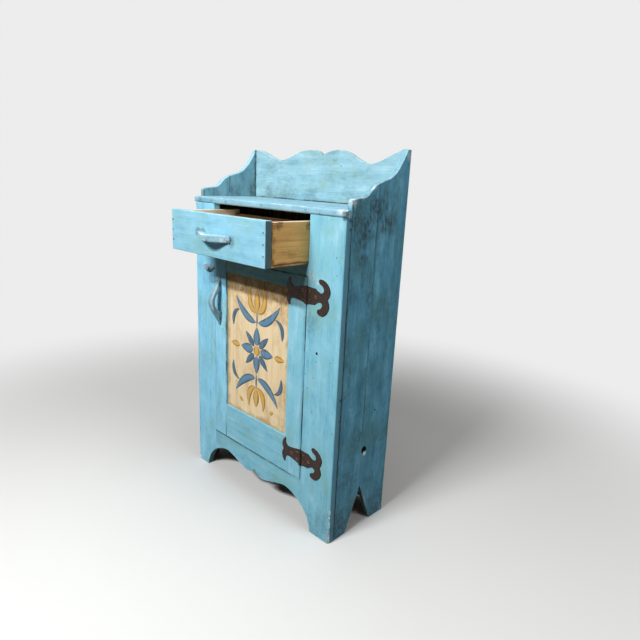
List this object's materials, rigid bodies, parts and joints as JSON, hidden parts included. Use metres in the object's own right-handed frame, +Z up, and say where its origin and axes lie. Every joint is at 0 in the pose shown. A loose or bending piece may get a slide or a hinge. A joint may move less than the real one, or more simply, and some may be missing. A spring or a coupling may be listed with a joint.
{
  "type": "milk cupboard",
  "caption": "Free-standing painted pine cupboard with a scalloped gallery and foot, a drawer, and a panelled door on ram's-horn hinges kept shut by a turn button.",
  "frame": {"origin": "on the floor, under the middle of the overall box with the drawer at its rest opening", "axes": "+Z up, +X across the front to the viewer's right, +Y from the front to the back"},
  "size_m": [0.66, 0.442, 1.115],
  "materials": {
    "blue_paint": "worn sky-blue paint on pine",
    "bare_pine": "bare aged pine",
    "panel_pine": "pale scrubbed pine with a painted folk design",
    "wrought_iron": "dark rusted wrought iron"
  },
  "bodies": {
    "case": {"back_plank_1": "bare_pine", "back_plank_2": "bare_pine", "back_plank_3": "bare_pine", "back_plank_4": "bare_pine", "button_screw": "wrought_iron", "cupboard_floor": "bare_pine", "door_stop": "bare_pine", "drawer_rail": "blue_paint", "face_frame_nails": "wrought_iron", "gallery_crest": "blue_paint", "left_drawer_guide": "bare_pine", "left_drawer_runner": "bare_pine", "left_face_stile": "blue_paint", "left_floor_cleat": "bare_pine", "left_lower_shelf_cleat": "bare_pine", "left_side_front_plank": "blue_paint", "left_side_rear_plank": "blue_paint", "left_upper_shelf_cleat": "bare_pine", "lower_hinge_pin": "wrought_iron", "lower_hinge_stile_leaf": "wrought_iron", "lower_shelf": "bare_pine", "right_drawer_guide": "bare_pine", "right_drawer_runner": "bare_pine", "right_face_stile": "blue_paint", "right_floor_cleat": "bare_pine", "right_lower_shelf_cleat": "bare_pine", "right_side_front_plank": "blue_paint", "right_side_rear_plank": "blue_paint", "right_upper_shelf_cleat": "bare_pine", "scalloped_apron": "blue_paint", "stile_leaf_nails": "wrought_iron", "top_board": "blue_paint", "upper_hinge_pin": "wrought_iron", "upper_hinge_stile_leaf": "wrought_iron", "upper_shelf": "bare_pine"},
    "drawer": {"drawer_back": "bare_pine", "drawer_bottom": "bare_pine", "drawer_front": "blue_paint", "drawer_front_nails": "wrought_iron", "drawer_left_side": "bare_pine", "drawer_pull": "blue_paint", "drawer_pull_screws": "wrought_iron", "drawer_right_side": "bare_pine"},
    "door": {"door_bottom_rail": "blue_paint", "door_handle": "blue_paint", "door_handle_screws": "wrought_iron", "door_hinge_stile": "blue_paint", "door_latch_stile": "blue_paint", "door_leaf_nails": "wrought_iron", "door_panel": "panel_pine", "door_top_rail": "blue_paint", "lower_hinge_door_leaf": "wrought_iron", "upper_hinge_door_leaf": "wrought_iron"},
    "button": {"turn_button": "blue_paint"}
  },
  "joints": [
    {"name": "drawer_slide", "type": "slide", "parent": "case", "child": "drawer", "axis": [0, -1, 0], "range_m": [-0.151, 0.045]},
    {"name": "door_hinge", "type": "hinge", "parent": "case", "child": "door", "pos_m": [0.20425, -0.0371, 0.2305], "axis": [0, 0, 1], "range_deg": [0, 170]},
    {"name": "button_turn", "type": "hinge", "parent": "case", "child": "button", "pos_m": [-0.243, -0.033, 0.7325], "axis": [0, 1, 0], "range_deg": [0, 180]}
  ]
}
